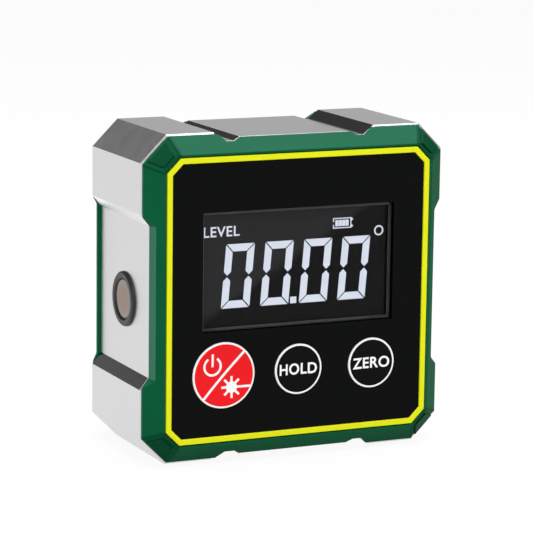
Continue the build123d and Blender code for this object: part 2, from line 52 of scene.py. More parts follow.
# The keys' dished faces, as the solids have them, in millimetres
DISH_DEPTH = 0.25
DISH_EDGE = 0.61
# Printed and lit marks stand this far off what carries them, and sink this far in
MARK_STAND = 0.03
MARK_SINK = 0.05
# What the face sheet leaves clear: half its width, its middle height, half its height
WINDOW = (19.0, 35.1, 10.9)
# Half the meter's height, and half the span about its middle that holds no cut corner
MIDDLE_HEIGHT = 30.0
CLEAR_OF_CORNERS = 17.0
# Where the covers' mitred corners begin, as a distance along their normals; the green finish paints shade
# there
CORNER_NORMAL = (1.0, 1.6, 1.0)
CORNER_LEVEL = 73.9


def linear(code):
    """An sRGB hex colour as linear red, green and blue."""
    parts = [int(code[i:i + 2], 16) / 255 for i in (1, 3, 5)]
    return tuple(p / 12.92 if p <= 0.04045 else ((p + 0.055) / 1.055) ** 2.4 for p in parts)


def colour(name, description, code):
    return FloatVectorProperty(
        name=name, description=description, subtype="COLOR", size=4, min=0.0, max=1.0,
        default=(*linear(code), 1.0))


def length(name, description, millimetres):
    return FloatProperty(
        name=name, description=description, default=millimetres * MM, unit="LENGTH", precision=5)


def share(name, description, value):
    return FloatProperty(
        name=name, description=description, default=value, min=0.0, max=1.0, subtype="FACTOR")


class MeterFinishes(bpy.types.PropertyGroup):
    """Colours of the meter's surfaces."""

    aluminium: colour("Aluminium", "Blasted faces of the frame", "#DADADB")
    green: colour("Green covers", "Front and back covers", "#0A5A38")
    yellow: colour("Yellow ring", "Ring round the face sheet", "#EAEF16")
    black_print: colour("Black print", "Print behind the clear face sheet", "#080909")
    # The paler display colour is a painted reflection, not a colour of the glass.
    glass_light: colour("Display, lighter", "Upper left of the display glass", "#303032")
    glass_dark: colour("Display, darker", "Lower right of the display glass", "#0F0F10")
    lit: colour("Lit marks", "Display segments and signs", "#E6EDFB")
    red: colour("Red key", "Cap of the power key", "#F2161D")
    white: colour("White inlay", "Key rings and legends", "#FFFFFF")
    key_black: colour("Black keys", "Caps of the two black keys", "#090A0A")
    black_plastic: colour("Black plastic", "Carriers, switches and laser ring", "#242425")
    laminate: colour("Board", "Solder mask of the circuit board", "#0F4A2E")
    jacket: colour("Cell jacket", "Printed sleeve of the cells", "#2E3440")


class MeterMarks(bpy.types.PropertyGroup):
    """Sizes of the marks on the display and of the legends on the keys."""

    level_left: length("Word, left", "Left end of the display's word", -18.3)
    level_low: length("Word, low", "Baseline of the display's word", 41.24)
    level_width: length("Word width", "Width of the display's word", 7.05)
    level_height: length("Word height", "Capital height of the display's word", 1.87)
    battery_left: length("Battery, left", "Left end of the battery sign", 7.38)
    battery_low: length("Battery, low", "Lower edge of the battery sign", 41.42)
    battery_width: length("Battery width", "Width of the battery sign without its terminals", 3.72)
    battery_height: length("Battery height", "Height of the battery sign", 1.95)
    battery_bars: IntProperty(
        name="Battery bars", description="Filled bars in the sign", default=4, min=1, max=6)
    degree_x: length("Degree, across", "Centre of the degree ring", 16.75)
    degree_z: length("Degree, up", "Centre of the degree ring", 40.6)
    degree_radius: length("Degree radius", "Outer radius of the degree ring", 0.95)
    legend_width: length("Legend width", "Width of the words on the black keys", 7.5)
    legend_height: length("Legend height", "Capital height on the black keys", 2.1)
    burst_rays: IntProperty(name="Rays", description="Rays of the beam sign", default=8, min=4, max=16)
    burst_reach: length("Ray reach", "Reach of the short rays from the sign's centre", 2.0)
    burst_disc: length("Burst disc", "Radius of the sign's disc", 1.06)
    line: length("Sign line", "Width of the signs' lines on the red key", 0.42)


class MeterStudio(bpy.types.PropertyGroup):
    """The floor, the lamps and the camera."""

    camera_at: FloatVectorProperty(
        name="Camera", description="Place of the camera", subtype="TRANSLATION", unit="LENGTH",
        default=(-0.20624, -0.44986, 0.12373))
    camera_turn: FloatVectorProperty(
        name="Camera turn", description="Rotation of the camera", subtype="EULER", unit="ROTATION",
        default=tuple(math.radians(a) for a in (79.569, -0.731, -24.512)))
    lens: FloatProperty(name="Lens", description="Focal length in millimetres", default=182.478, min=20.0)
    floor_span: FloatProperty(
        name="Floor", description="Side of the floor", default=16.0, unit="LENGTH", min=1.0)
    ambient: share("Ambient light", "Even light from all round", 0.62)
    top_lamp: FloatProperty(
        name="Top lamp", description="Power of the overhead softbox", default=3.0, unit="POWER")
    front_lamp: FloatProperty(
        name="Front lamp", description="Power of the front softbox", default=3.6, unit="POWER")


def add(tree, kind, settings=None, inputs=None):
    """Adds a node, sets its properties, and gives each named input a value or a link."""
    made = tree.nodes.new(kind)
    for key, value in (settings or {}).items():
        setattr(made, key, value)
    for key, value in (inputs or {}).items():
        if isinstance(value, bpy.types.NodeSocket):
            tree.links.new(value, made.inputs[key])
        else:
            made.inputs[key].default_value = value
    return made


def new_finish(name, base, **values):
    """A material, its node tree and its shader, with plain values on the shader's own sockets."""
    finish = bpy.data.materials.new(name)
    finish.use_nodes = True
    tree = finish.node_tree
    shader = tree.nodes["Principled BSDF"]
    shader.inputs["Base Color"].default_value = base
    for key, value in values.items():
        shader.inputs[key.replace("_", " ")].default_value = value
    return finish, tree, shader


def per_mm(size):
    """Scale of a noise whose lumps are about this many millimetres across."""
    return 1.0 / (size * MM)


def dress(material, *names):
    for name in names:
        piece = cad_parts[name]
        if not piece.material_slots:
            piece.data.materials.append(material)
        for slot in piece.material_slots:
            slot.material = material


def finish_once(make):
    """Makes a finish the first time it is asked for."""
    found = bpy.data.materials.get(make.__name__)
    return found or make(bpy.context.scene.meter_finishes)


def moulded(name, base, roughness, grain, depth, cloud, specular=0.5):
    """Injection-moulded ABS from a spark-eroded tool: an even fine grain that
    breaks up the sheen, and a faint flow of lighter and deeper colour."""
    finish, tree, shader = new_finish(name, base, Roughness=roughness, Specular_IOR_Level=specular)
    where = add(tree, "ShaderNodeTexCoord")
    fine = add(tree, "ShaderNodeTexNoise", None, {
        "Vector": where.outputs["Object"], "Scale": per_mm(grain), "Detail": 2.0})
    flow = add(tree, "ShaderNodeTexNoise", None, {
        "Vector": where.outputs["Object"], "Scale": per_mm(11.0), "Detail": 3.0})
    tone = add(tree, "ShaderNodeMapRange", None, {
        "Value": flow.outputs["Fac"], "From Min": 0.3, "From Max": 0.7,
        "To Min": 1.0 - cloud, "To Max": 1.0 + cloud})
    shade = add(tree, "ShaderNodeHueSaturation", None, {"Color": base, "Value": tone.outputs["Result"]})
    tree.links.new(shade.outputs["Color"], shader.inputs["Base Color"])
    gloss = add(tree, "ShaderNodeMapRange", None, {
        "Value": fine.outputs["Fac"], "From Min": 0.3, "From Max": 0.7,
        "To Min": roughness - 0.06, "To Max": roughness + 0.06})
    tree.links.new(gloss.outputs["Result"], shader.inputs["Roughness"])
    bump = add(tree, "ShaderNodeBump", None, {"Height": fine.outputs["Fac"], "Distance": depth * MM})
    tree.links.new(bump.outputs["Normal"], shader.inputs["Normal"])
    return finish


def blasted_aluminium(look):
    """Milled aluminium, bead-blasted: a close grey-white grain without brush
    marks. The blast's pits are 0.05 mm, drawn here at 0.22 mm to show. The
    slanting steps at the sides and the notches keep the cutter's smoother
    gloss, and their colour is painted light: a painted highlight on the steps
    that face down, and painted shade on those that face up."""
    finish, tree, shader = new_finish("blasted_aluminium", look.aluminium, Metallic=1.0)
    where = add(tree, "ShaderNodeTexCoord")
    pits = add(tree, "ShaderNodeTexNoise", None, {
        "Vector": where.outputs["Object"], "Scale": per_mm(0.22), "Detail": 3.0, "Roughness": 0.6})
    cloud = add(tree, "ShaderNodeTexNoise", None, {
        "Vector": where.outputs["Object"], "Scale": per_mm(2.6), "Detail": 4.0, "Roughness": 0.65})
    both = add(tree, "ShaderNodeMath", {"operation": "ADD"}, {
        0: pits.outputs["Fac"], 1: cloud.outputs["Fac"]})
    tone = add(tree, "ShaderNodeMapRange", None, {
        "Value": both.outputs["Value"], "From Min": 0.7, "From Max": 1.3, "To Min": 0.955, "To Max": 1.03})
    shade = add(tree, "ShaderNodeHueSaturation", None, {
        "Color": look.aluminium, "Value": tone.outputs["Result"]})
    gloss = add(tree, "ShaderNodeMapRange", None, {
        "Value": cloud.outputs["Fac"], "From Min": 0.3, "From Max": 0.7, "To Min": 0.3, "To Max": 0.37})
    spot = add(tree, "ShaderNodeSeparateXYZ", None, {"Vector": where.outputs["Object"]})
    facing = add(tree, "ShaderNodeSeparateXYZ", None, {"Vector": where.outputs["Normal"]})
    lean = add(tree, "ShaderNodeMath", {"operation": "MULTIPLY"}, {
        0: facing.outputs["X"], 1: facing.outputs["Z"]})
    slant = add(tree, "ShaderNodeMath", {"operation": "COMPARE"}, {
        0: lean.outputs["Value"], 1: 0.0, 2: 0.3})
    flat = add(tree, "ShaderNodeMath", {"operation": "SUBTRACT"}, {0: 1.0, 1: slant.outputs["Value"]})
    sides = add(tree, "ShaderNodeMath", {"operation": "COMPARE"}, {
        0: spot.outputs["Z"], 1: MIDDLE_HEIGHT * MM, 2: CLEAR_OF_CORNERS * MM})
    ends = add(tree, "ShaderNodeMath", {"operation": "COMPARE"}, {
        0: spot.outputs["X"], 1: 0.0, 2: CLEAR_OF_CORNERS * MM})
    away = add(tree, "ShaderNodeMath", {"operation": "MAXIMUM"}, {
        0: sides.outputs["Value"], 1: ends.outputs["Value"]})
    step = add(tree, "ShaderNodeMath", {"operation": "MULTIPLY"}, {
        0: flat.outputs["Value"], 1: away.outputs["Value"]})
    # Painted light on the slanting steps: those that face down take a near-white painted highlight, those
    # that face up a dark grey painted shade.
    upward = add(tree, "ShaderNodeMath", {"operation": "GREATER_THAN"}, {0: facing.outputs["Z"], 1: 0.0})
    bright = add(tree, "ShaderNodeMix", {"data_type": "RGBA"}, {
        0: upward.outputs["Value"], 6: (*linear("#FDFDFD"), 1.0), 7: (*linear("#8E8E90"), 1.0)})
    # The painted steps take the place of the blasted tone on those faces.
    tone_with_painted_steps = add(tree, "ShaderNodeMix", {"data_type": "RGBA"}, {
        0: step.outputs["Value"], 6: shade.outputs["Color"], 7: bright.outputs[2]})
    tree.links.new(tone_with_painted_steps.outputs[2], shader.inputs["Base Color"])
    smooth = add(tree, "ShaderNodeMapRange", None, {
        "Value": upward.outputs["Value"], "To Min": 0.34, "To Max": 0.12})
    polish = add(tree, "ShaderNodeMix", {"data_type": "FLOAT"}, {
        0: step.outputs["Value"], 2: gloss.outputs["Result"], 3: smooth.outputs["Result"]})
    tree.links.new(polish.outputs[0], shader.inputs["Roughness"])
    bump = add(tree, "ShaderNodeBump", None, {
        "Height": pits.outputs["Fac"], "Distance": 0.006 * MM, "Strength": 0.8})
    tree.links.new(bump.outputs["Normal"], shader.inputs["Normal"])
    return finish


def green_abs(look):
    """Green moulded ABS: satin, with a fine even grain. Its colour also carries
    painted light: painted shade on the cut corners, a paler painted light
    where it faces up, and a paler painted sheen where it faces sideways."""
    finish = moulded("green_abs", look.green, 0.45, 0.3, 0.006, 0.05, 0.03)
    tree = finish.node_tree
    paint = tree.nodes["Principled BSDF"].inputs["Base Color"]
    plain = paint.links[0].from_socket
    where = add(tree, "ShaderNodeTexCoord")
    moved = add(tree, "ShaderNodeVectorMath", {"operation": "SUBTRACT"}, {
        0: where.outputs["Object"], 1: (0.0, 0.0, MIDDLE_HEIGHT * MM)})
    out = add(tree, "ShaderNodeVectorMath", {"operation": "ABSOLUTE"}, {0: moved.outputs["Vector"]})
    reach = add(tree, "ShaderNodeVectorMath", {"operation": "DOT_PRODUCT"}, {
        0: out.outputs["Vector"], 1: CORNER_NORMAL})
    # Painted shade: the cut corners are darkened to 0.62 of their colour.
    corner = add(tree, "ShaderNodeMath", {"operation": "GREATER_THAN"}, {
        0: reach.outputs["Value"], 1: CORNER_LEVEL * MM})
    deep = add(tree, "ShaderNodeMapRange", None, {
        "Value": corner.outputs["Value"], "To Min": 1.0, "To Max": 0.62})
    # Painted light: faces that look up take a paler green.
    facing = add(tree, "ShaderNodeSeparateXYZ", None, {"Vector": where.outputs["Normal"]})
    upward = add(tree, "ShaderNodeMapRange", None, {
        "Value": facing.outputs["Z"], "From Min": 0.55, "From Max": 0.65})
    painted_top_light = add(tree, "ShaderNodeMix", {"data_type": "RGBA"}, {
        0: upward.outputs["Result"], 6: plain, 7: (*linear("#26654B"), 1.0)})
    # Painted sheen: faces that look sideways take a paler, greyer green.
    across = add(tree, "ShaderNodeMath", {"operation": "ABSOLUTE"}, {0: facing.outputs["X"]})
    sideways = add(tree, "ShaderNodeMapRange", None, {
        "Value": across.outputs["Value"], "From Min": 0.85, "From Max": 0.95})
    painted_side_sheen = add(tree, "ShaderNodeMix", {"data_type": "RGBA"}, {
        0: sideways.outputs["Result"], 6: painted_top_light.outputs[2], 7: (*linear("#3F7860"), 1.0)})
    shade = add(tree, "ShaderNodeHueSaturation", None, {
        "Color": painted_side_sheen.outputs[2], "Value": deep.outputs["Result"]})
    tree.links.new(shade.outputs["Color"], paint)
    return finish


def yellow_abs(look):
    """Yellow moulded ABS: bright and satin."""
    return moulded("yellow_abs", look.yellow, 0.45, 0.3, 0.004, 0.02, 0.15)


def black_abs(look):
    """Black moulded ABS: satin, grained a little coarser than the covers."""
    return moulded("black_abs", look.black_plastic, 0.42, 0.35, 0.006, 0.06)


def face_sheet(look):
    """Cast acrylic with a hard coat: deep black print under it, and a clear
    window that shows hardly more of itself than a weak mirror."""
    finish, tree, shader = new_finish(
        "face_sheet", look.black_print, Roughness=0.08, IOR=1.49, Specular_IOR_Level=0.05)
    half, middle, half_high = (value * MM for value in WINDOW)
    where = add(tree, "ShaderNodeTexCoord")
    parts = add(tree, "ShaderNodeSeparateXYZ", None, {"Vector": where.outputs["Object"]})
    across = add(tree, "ShaderNodeMath", {"operation": "COMPARE"}, {0: parts.outputs["X"], 1: 0.0, 2: half})
    upward = add(tree, "ShaderNodeMath", {"operation": "COMPARE"}, {
        0: parts.outputs["Z"], 1: middle, 2: half_high})
    inside = add(tree, "ShaderNodeMath", {"operation": "MULTIPLY"}, {
        0: across.outputs["Value"], 1: upward.outputs["Value"]})
    solid = add(tree, "ShaderNodeMapRange", None, {
        "Value": inside.outputs["Value"], "To Min": 1.0, "To Max": 0.1})
    clear = add(tree, "ShaderNodeBsdfTransparent")
    mix = add(tree, "ShaderNodeMixShader", None, {
        0: solid.outputs["Result"], 1: clear.outputs[0], 2: shader.outputs[0]})
    tree.links.new(mix.outputs[0], tree.nodes["Material Output"].inputs["Surface"])
    return finish


def black_print(look):
    """Screen-printed ink seen through the sheet: deep flat black with a
    barely uneven lay."""
    finish, tree, shader = new_finish(
        "black_print", look.black_print, Roughness=0.6, Specular_IOR_Level=0.1)
    where = add(tree, "ShaderNodeTexCoord")
    lay = add(tree, "ShaderNodeTexNoise", None, {"Vector": where.outputs["Object"], "Scale": per_mm(5.0)})
    tone = add(tree, "ShaderNodeMapRange", None, {
        "Value": lay.outputs["Fac"], "To Min": 0.85, "To Max": 1.15})
    shade = add(tree, "ShaderNodeHueSaturation", None, {
        "Color": look.black_print, "Value": tone.outputs["Result"]})
    tree.links.new(shade.outputs["Color"], shader.inputs["Base Color"])
    return finish


def display_glass(look):
    """Negative display glass under its polariser: near black, with a painted
    reflection that makes the upper left half paler, ending along a soft
    slanting line."""
    finish, tree, shader = new_finish(
        "display_glass", look.glass_dark, Roughness=0.25, Specular_IOR_Level=0.15)
    low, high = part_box("lcd_panel")
    middle = (low + high) / 2
    slant = Vector((low.z - high.z, 0.0, high.x - low.x)).normalized()
    where = add(tree, "ShaderNodeTexCoord")
    reach = add(tree, "ShaderNodeVectorMath", {"operation": "DOT_PRODUCT"}, {
        0: where.outputs["Object"], 1: tuple(slant)})
    level = slant.dot(middle)
    part = add(tree, "ShaderNodeMapRange", {"interpolation_type": "SMOOTHSTEP"}, {
        "Value": reach.outputs["Value"], "From Min": level - 0.7 * MM, "From Max": level + 1.3 * MM})
    # Painted reflection: the upper left half takes the paler colour.
    mix = add(tree, "ShaderNodeMix", {"data_type": "RGBA"}, {
        0: part.outputs["Result"], 6: look.glass_dark, 7: look.glass_light})
    tree.links.new(mix.outputs[2], shader.inputs["Base Color"])
    return finish


def lit_crystal(look):
    """A lit display element: even cool white light that needs no lamp."""
    glow = tuple(look.lit)
    finish, tree, shader = new_finish(
        "lit_crystal", (0.02, 0.02, 0.02, 1.0), Roughness=0.5, Specular_IOR_Level=0.0,
        Emission_Color=glow, Emission_Strength=1.08)
    where = add(tree, "ShaderNodeTexCoord")
    haze = add(tree, "ShaderNodeTexNoise", None, {
        "Vector": where.outputs["Object"], "Scale": per_mm(2.2), "Detail": 1.0})
    tone = add(tree, "ShaderNodeMapRange", None, {
        "Value": haze.outputs["Fac"], "To Min": 0.93, "To Max": 1.04})
    shade = add(tree, "ShaderNodeHueSaturation", None, {"Color": glow, "Value": tone.outputs["Result"]})
    tree.links.new(shade.outputs["Color"], shader.inputs["Emission Color"])
    return finish


def red_keycap(look):
    """Glossy moulded red keycap."""
    return moulded("red_keycap", look.red, 0.35, 0.25, 0.001, 0.01, 0.15)


def black_keycap(look):
    """Glossy moulded black keycap."""
    return moulded("black_keycap", look.key_black, 0.28, 0.25, 0.001, 0.03, 0.06)


def white_inlay(look):
    """White second-shot plastic of the key rings and legends."""
    return moulded("white_inlay", look.white, 0.45, 0.5, 0.002, 0.01, 0.3)


def laser_glass(look):
    """Coated window of the laser: a warm tan film over glass, greyer at its
    rim, with a clean gloss."""
    finish, tree, shader = new_finish(
        "laser_glass", (*linear("#866A58"), 1.0), Roughness=0.2, Specular_IOR_Level=0.3, Coat_Weight=0.2,
        Coat_Roughness=0.05)
    low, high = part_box("laser_lens")
    middle = (low + high) / 2
    where = add(tree, "ShaderNodeTexCoord")
    apart = add(tree, "ShaderNodeVectorMath", {"operation": "DISTANCE"}, {
        0: where.outputs["Object"], 1: (low.x, middle.y, middle.z)})
    rim = (high.z - low.z) / 2
    part = add(tree, "ShaderNodeMapRange", {"interpolation_type": "SMOOTHSTEP"}, {
        "Value": apart.outputs["Value"], "From Min": rim * 0.45, "From Max": rim})
    mix = add(tree, "ShaderNodeMix", {"data_type": "RGBA"}, {
        0: part.outputs["Result"], 6: (*linear("#866A58"), 1.0), 7: (*linear("#86817B"), 1.0)})
    tree.links.new(mix.outputs[2], shader.inputs["Base Color"])
    return finish


def turned_brass(look):
    """Brass turned on a lathe: fine rings round the barrel's axis."""
    finish, tree, shader = new_finish(
        "turned_brass", (*linear("#C9A45A"), 1.0), Metallic=1.0, Roughness=0.28)
    where = add(tree, "ShaderNodeTexCoord")
    rings = add(tree, "ShaderNodeTexWave", {"bands_direction": "X"}, {
        "Vector": where.outputs["Object"], "Scale": per_mm(8.0), "Distortion": 0.4})
    bump = add(tree, "ShaderNodeBump", None, {
        "Height": rings.outputs["Fac"], "Distance": 0.01 * MM, "Strength": 0.5})
    tree.links.new(bump.outputs["Normal"], shader.inputs["Normal"])
    return finish


def nickel_plate(look):
    """Bright nickel on steel: mirror-like, dulled in small clouds."""
    finish, tree, shader = new_finish("nickel_plate", (*linear("#C8C6C2"), 1.0), Metallic=1.0)
    where = add(tree, "ShaderNodeTexCoord")
    cloud = add(tree, "ShaderNodeTexNoise", None, {
        "Vector": where.outputs["Object"], "Scale": per_mm(1.2), "Detail": 4.0})
    gloss = add(tree, "ShaderNodeMapRange", None, {
        "Value": cloud.outputs["Fac"], "From Min": 0.3, "From Max": 0.7, "To Min": 0.16, "To Max": 0.34})
    tree.links.new(gloss.outputs["Result"], shader.inputs["Roughness"])
    return finish


def solder_mask(look):
    """Glass laminate under green mask: the weave shows as a fine check, and
    copper under the mask as paler tracks."""
    finish, tree, shader = new_finish("solder_mask", look.laminate, Roughness=0.3)
    where = add(tree, "ShaderNodeTexCoord")
    tracks = add(tree, "ShaderNodeTexBrick", {"offset": 0.35, "offset_frequency": 3}, {
        "Vector": where.outputs["Object"], "Scale": per_mm(6.0), "Mortar Size": 0.06,
        "Color1": look.laminate, "Color2": look.laminate, "Mortar": (*linear("#2B7A4B"), 1.0)})
    turn = add(tree, "ShaderNodeMapping", None, {
        "Vector": where.outputs["Object"], "Rotation": (math.radians(90), 0.0, 0.0)})
    tree.links.new(turn.outputs["Vector"], tracks.inputs["Vector"])
    tree.links.new(tracks.outputs["Color"], shader.inputs["Base Color"])
    weave = add(tree, "ShaderNodeTexChecker", None, {
        "Vector": where.outputs["Object"], "Scale": per_mm(0.5)})
    bump = add(tree, "ShaderNodeBump", None, {
        "Height": weave.outputs["Fac"], "Distance": 0.004 * MM, "Strength": 0.4})
    tree.links.new(bump.outputs["Normal"], shader.inputs["Normal"])
    return finish


def printed_jacket(look):
    """Shrunk plastic sleeve of a cell: dark print with a bright band at its
    upper end, over a bare can end."""
    finish, tree, shader = new_finish("printed_jacket", look.jacket, Roughness=0.32, Metallic=0.3)
    where = add(tree, "ShaderNodeTexCoord")
    parts = add(tree, "ShaderNodeSeparateXYZ", None, {"Vector": where.outputs["Object"]})
    band = add(tree, "ShaderNodeMapRange", None, {
        "Value": parts.outputs["Z"], "From Min": 41.0 * MM, "From Max": 41.2 * MM})
    mix = add(tree, "ShaderNodeMix", {"data_type": "RGBA"}, {
        0: band.outputs["Result"], 6: look.jacket, 7: (*linear("#B9852E"), 1.0)})
    tree.links.new(mix.outputs[2], shader.inputs["Base Color"])
    return finish


def tinned_solder(look):
    """Reflowed solder: bright, slightly frosted."""
    return new_finish("tinned_solder", (*linear("#BFC1C4"), 1.0), Metallic=1.0, Roughness=0.3)[0]


def plain_mesh(name, source):
    """The evaluated mesh of an object, as a mesh of its own with merged corners
    and faces that look outwards. The source object is removed."""
    bpy.context.scene.collection.objects.link(source)
    seen = bpy.context.evaluated_depsgraph_get()
    mesh = bpy.data.meshes.new_from_object(source.evaluated_get(seen))
    data = source.data
    bpy.data.objects.remove(source)
    if isinstance(data, bpy.types.Curve):
        bpy.data.curves.remove(data)
    mesh.name = name
    tidy = bmesh.new()
    tidy.from_mesh(mesh)
    bmesh.ops.remove_doubles(tidy, verts=tidy.verts, dist=0.0005 * MM)
    bmesh.ops.recalc_face_normals(tidy, faces=tidy.faces)
    tidy.to_mesh(mesh)
    tidy.free()
    return mesh


def stand_up(mesh, face_y):
    """Turns a mesh drawn flat, and as thick as a mark, to face the viewer. Its
    front ends a mark's stand before face_y."""
    low = min(v.co.z for v in mesh.vertices)
    for v in mesh.vertices:
        x, y, z = v.co
        v.co = (x, face_y + MARK_SINK * MM - (z - low), y)
    return mesh


def flat_mark(name, loops, face_y):
    """A thin solid from closed outlines of (x, z) points. An outline inside
    another is a hole."""
    curve = bpy.data.curves.new(name, "CURVE")
    curve.dimensions = "2D"
    curve.fill_mode = "BOTH"
    curve.extrude = (MARK_STAND + MARK_SINK) * MM / 2
    for loop in loops:
        spline = curve.splines.new("POLY")
        spline.points.add(len(loop) - 1)
        for point, (x, z) in zip(spline.points, loop):
            point.co = (x, z, 0.0, 1.0)
        spline.use_cyclic_u = True
    return stand_up(plain_mesh(name, bpy.data.objects.new(name, curve)), face_y)


def word_mark(name, text, left, low, width, height, weight, face_y):
    """A thin solid word, fitted to its width and capital height."""
    curve = bpy.data.curves.new(name, "FONT")
    curve.body = text
    curve.offset = weight
    curve.space_character = 1.08
    curve.resolution_u = 6
    curve.extrude = 0.5
    mesh = plain_mesh(name, bpy.data.objects.new(name, curve))
    xs = [v.co.x for v in mesh.vertices]
    ys = [v.co.y for v in mesh.vertices]
    across = width / (max(xs) - min(xs))
    upward = height / (max(ys) - min(ys))
    thick = (MARK_STAND + MARK_SINK) * MM
    start_x, start_y = min(xs), min(ys)
    for v in mesh.vertices:
        x, y, z = v.co
        v.co = (left + (x - start_x) * across, low + (y - start_y) * upward, z * thick)
    return stand_up(mesh, face_y)


def ring_loop(x, z, radius, count=48):
    turns = [2 * math.pi * i / count for i in range(count)]
    return [(x + radius * math.cos(t), z + radius * math.sin(t)) for t in turns]


def arc_stroke(x, z, radius, width, start, end, count=40):
    """The outline of a broad line bent round a centre, from start to end in degrees."""
    turns = [math.radians(start + (end - start) * i / count) for i in range(count + 1)]
    outer = [(x + (radius + width / 2) * math.cos(t), z + (radius + width / 2) * math.sin(t)) for t in turns]
    inner = [(x + (radius - width / 2) * math.cos(t), z + (radius - width / 2) * math.sin(t)) for t in turns]
    return outer + inner[::-1]


def bar(x0, z0, x1, z1):
    return [(x0, z0), (x1, z0), (x1, z1), (x0, z1)]


def key_face(ring):
    """A key's centre, face and dish, measured on its ring."""
    low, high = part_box(ring)
    reach = (high.x - low.x) / 2 - DISH_EDGE * MM
    depth = DISH_DEPTH * MM
    return {
        "x": (low.x + high.x) / 2, "z": (low.z + high.z) / 2, "y": low.y,
        "ball": (reach ** 2 + depth ** 2) / (2 * depth)}


def sink_into_dish(mesh, key):
    """Cuts a mark finer and moves it back so that it follows the dished face."""
    cut = bmesh.new()
    cut.from_mesh(mesh)
    bmesh.ops.triangulate(cut, faces=cut.faces)
    for _ in range(2):
        long = [e for e in cut.edges if e.calc_length() > 0.7 * MM]
        if long:
            bmesh.ops.subdivide_edges(cut, edges=long, cuts=1)
            bmesh.ops.triangulate(cut, faces=[f for f in cut.faces if len(f.verts) > 3])
    for v in cut.verts:
        off = math.hypot(v.co.x - key["x"], v.co.z - key["z"])
        depth = DISH_DEPTH * MM - key["ball"] + math.sqrt(key["ball"] ** 2 - off ** 2)
        v.co.y += max(depth, 0.0)
    cut.to_mesh(mesh)
    cut.free()


def joined(name, meshes):
    """One mesh from several."""
    whole = bmesh.new()
    for mesh in meshes:
        whole.from_mesh(mesh)
        bpy.data.meshes.remove(mesh)
    made = bpy.data.meshes.new(name)
    whole.to_mesh(made)
    whole.free()
    return made


def place(mesh, material, body):
    """Puts a finished mesh into the scene, on its body and with its slot."""
    if not mesh.materials:
        mesh.materials.append(material)
    piece = bpy.data.objects.new(mesh.name, mesh)
    bpy.context.scene.collection.objects.link(piece)
    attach(piece, body)
    return piece


def tree_with(name, inputs):
    """An empty geometry tree with named inputs, and its two end nodes."""
    tree = bpy.data.node_groups.new(name, "GeometryNodeTree")
    tree.interface.new_socket("Geometry", in_out="INPUT", socket_type="NodeSocketGeometry")
    for label, kind in inputs:
        tree.interface.new_socket(label, in_out="INPUT", socket_type=kind)
    tree.interface.new_socket("Material", in_out="INPUT", socket_type="NodeSocketMaterial")
    tree.interface.new_socket("Geometry", in_out="OUTPUT", socket_type="NodeSocketGeometry")
    return tree, add(tree, "NodeGroupInput")


def close_tree(tree, start, instances):
    real = add(tree, "GeometryNodeRealizeInstances", None, {"Geometry": instances})
    paint = add(tree, "GeometryNodeSetMaterial", None, {
        "Geometry": real.outputs["Geometry"], "Material": start.outputs["Material"]})
    add(tree, "NodeGroupOutput", None, {"Geometry": paint.outputs["Geometry"]})


def row_tree():
    """Repeats the piece it is given in a straight row."""
    found = bpy.data.node_groups.get("Row")
    if found:
        return found
    tree, start = tree_with("Row", [("Count", "NodeSocketInt"), ("Step", "NodeSocketVector")])
    line = add(tree, "GeometryNodeMeshLine", {"mode": "OFFSET"}, {
        "Count": start.outputs["Count"], "Offset": start.outputs["Step"]})
    copies = add(tree, "GeometryNodeInstanceOnPoints", None, {
        "Points": line.outputs["Mesh"], "Instance": start.outputs["Geometry"]})
    close_tree(tree, start, copies.outputs["Instances"])
    return tree


def wheel_tree():
    """Repeats the piece it is given round a centre, about the viewer's axis."""
    found = bpy.data.node_groups.get("Wheel")
    if found:
        return found
    tree, start = tree_with("Wheel", [("Count", "NodeSocketInt"), ("Centre", "NodeSocketVector")])
    back = add(tree, "ShaderNodeVectorMath", {"operation": "SCALE"}, {
        0: start.outputs["Centre"], "Scale": -1.0})
    home = add(tree, "GeometryNodeTransform", None, {
        "Geometry": start.outputs["Geometry"], "Translation": back.outputs["Vector"]})
    spots = add(tree, "GeometryNodeMeshLine", {"mode": "OFFSET"}, {
        "Count": start.outputs["Count"], "Offset": (0.0, 0.0, 0.0)})
    number = add(tree, "GeometryNodeInputIndex")
    part = add(tree, "ShaderNodeMath", {"operation": "DIVIDE"}, {
        0: number.outputs["Index"], 1: start.outputs["Count"]})
    turn = add(tree, "ShaderNodeMath", {"operation": "MULTIPLY"}, {0: part.outputs["Value"], 1: 2 * math.pi})
    about = add(tree, "ShaderNodeCombineXYZ", None, {"Y": turn.outputs["Value"]})
    copies = add(tree, "GeometryNodeInstanceOnPoints", None, {
        "Points": spots.outputs["Mesh"], "Instance": home.outputs["Geometry"],
        "Rotation": about.outputs["Vector"]})
    set_back = add(tree, "GeometryNodeTransform", None, {
        "Geometry": copies.outputs["Instances"], "Translation": start.outputs["Centre"]})
    close_tree(tree, start, set_back.outputs["Geometry"])
    return tree


def repeated(name, mesh, tree, **values):
    """Runs a repeating tree on a mesh and returns the result as a plain mesh."""
    source = bpy.data.objects.new(name, mesh)
    modifier = source.modifiers.new("Repeat", "NODES")
    modifier.node_group = tree
    for item in tree.interface.items_tree:
        if item.in_out == "INPUT" and item.name in values:
            modifier[item.identifier] = values[item.name]
    made = plain_mesh(name, source)
    bpy.data.meshes.remove(mesh)
    return made


class ANGLEMETER_OT_finish_housing(bpy.types.Operator):
    """Give the frame, covers, door, screws, magnets and laser their finishes"""

    bl_idname = "angle_meter.finish_housing"
    bl_label = "Finish Housing"

    def execute(self, context):
        dress(finish_once(blasted_aluminium), "body_frame")
        dress(finish_once(green_abs), "front_bezel", "rear_cover", "battery_door")
        dress(finish_once(yellow_abs), "accent_ring")
        dress(finish_once(black_abs), "laser_ring", "laser_bracket")
        dress(finish_once(laser_glass), "laser_lens")
        dress(finish_once(turned_brass), "laser_barrel")
        dress(finish_once(nickel_plate), "cover_screws", "base_magnets")
        return {"FINISHED"}


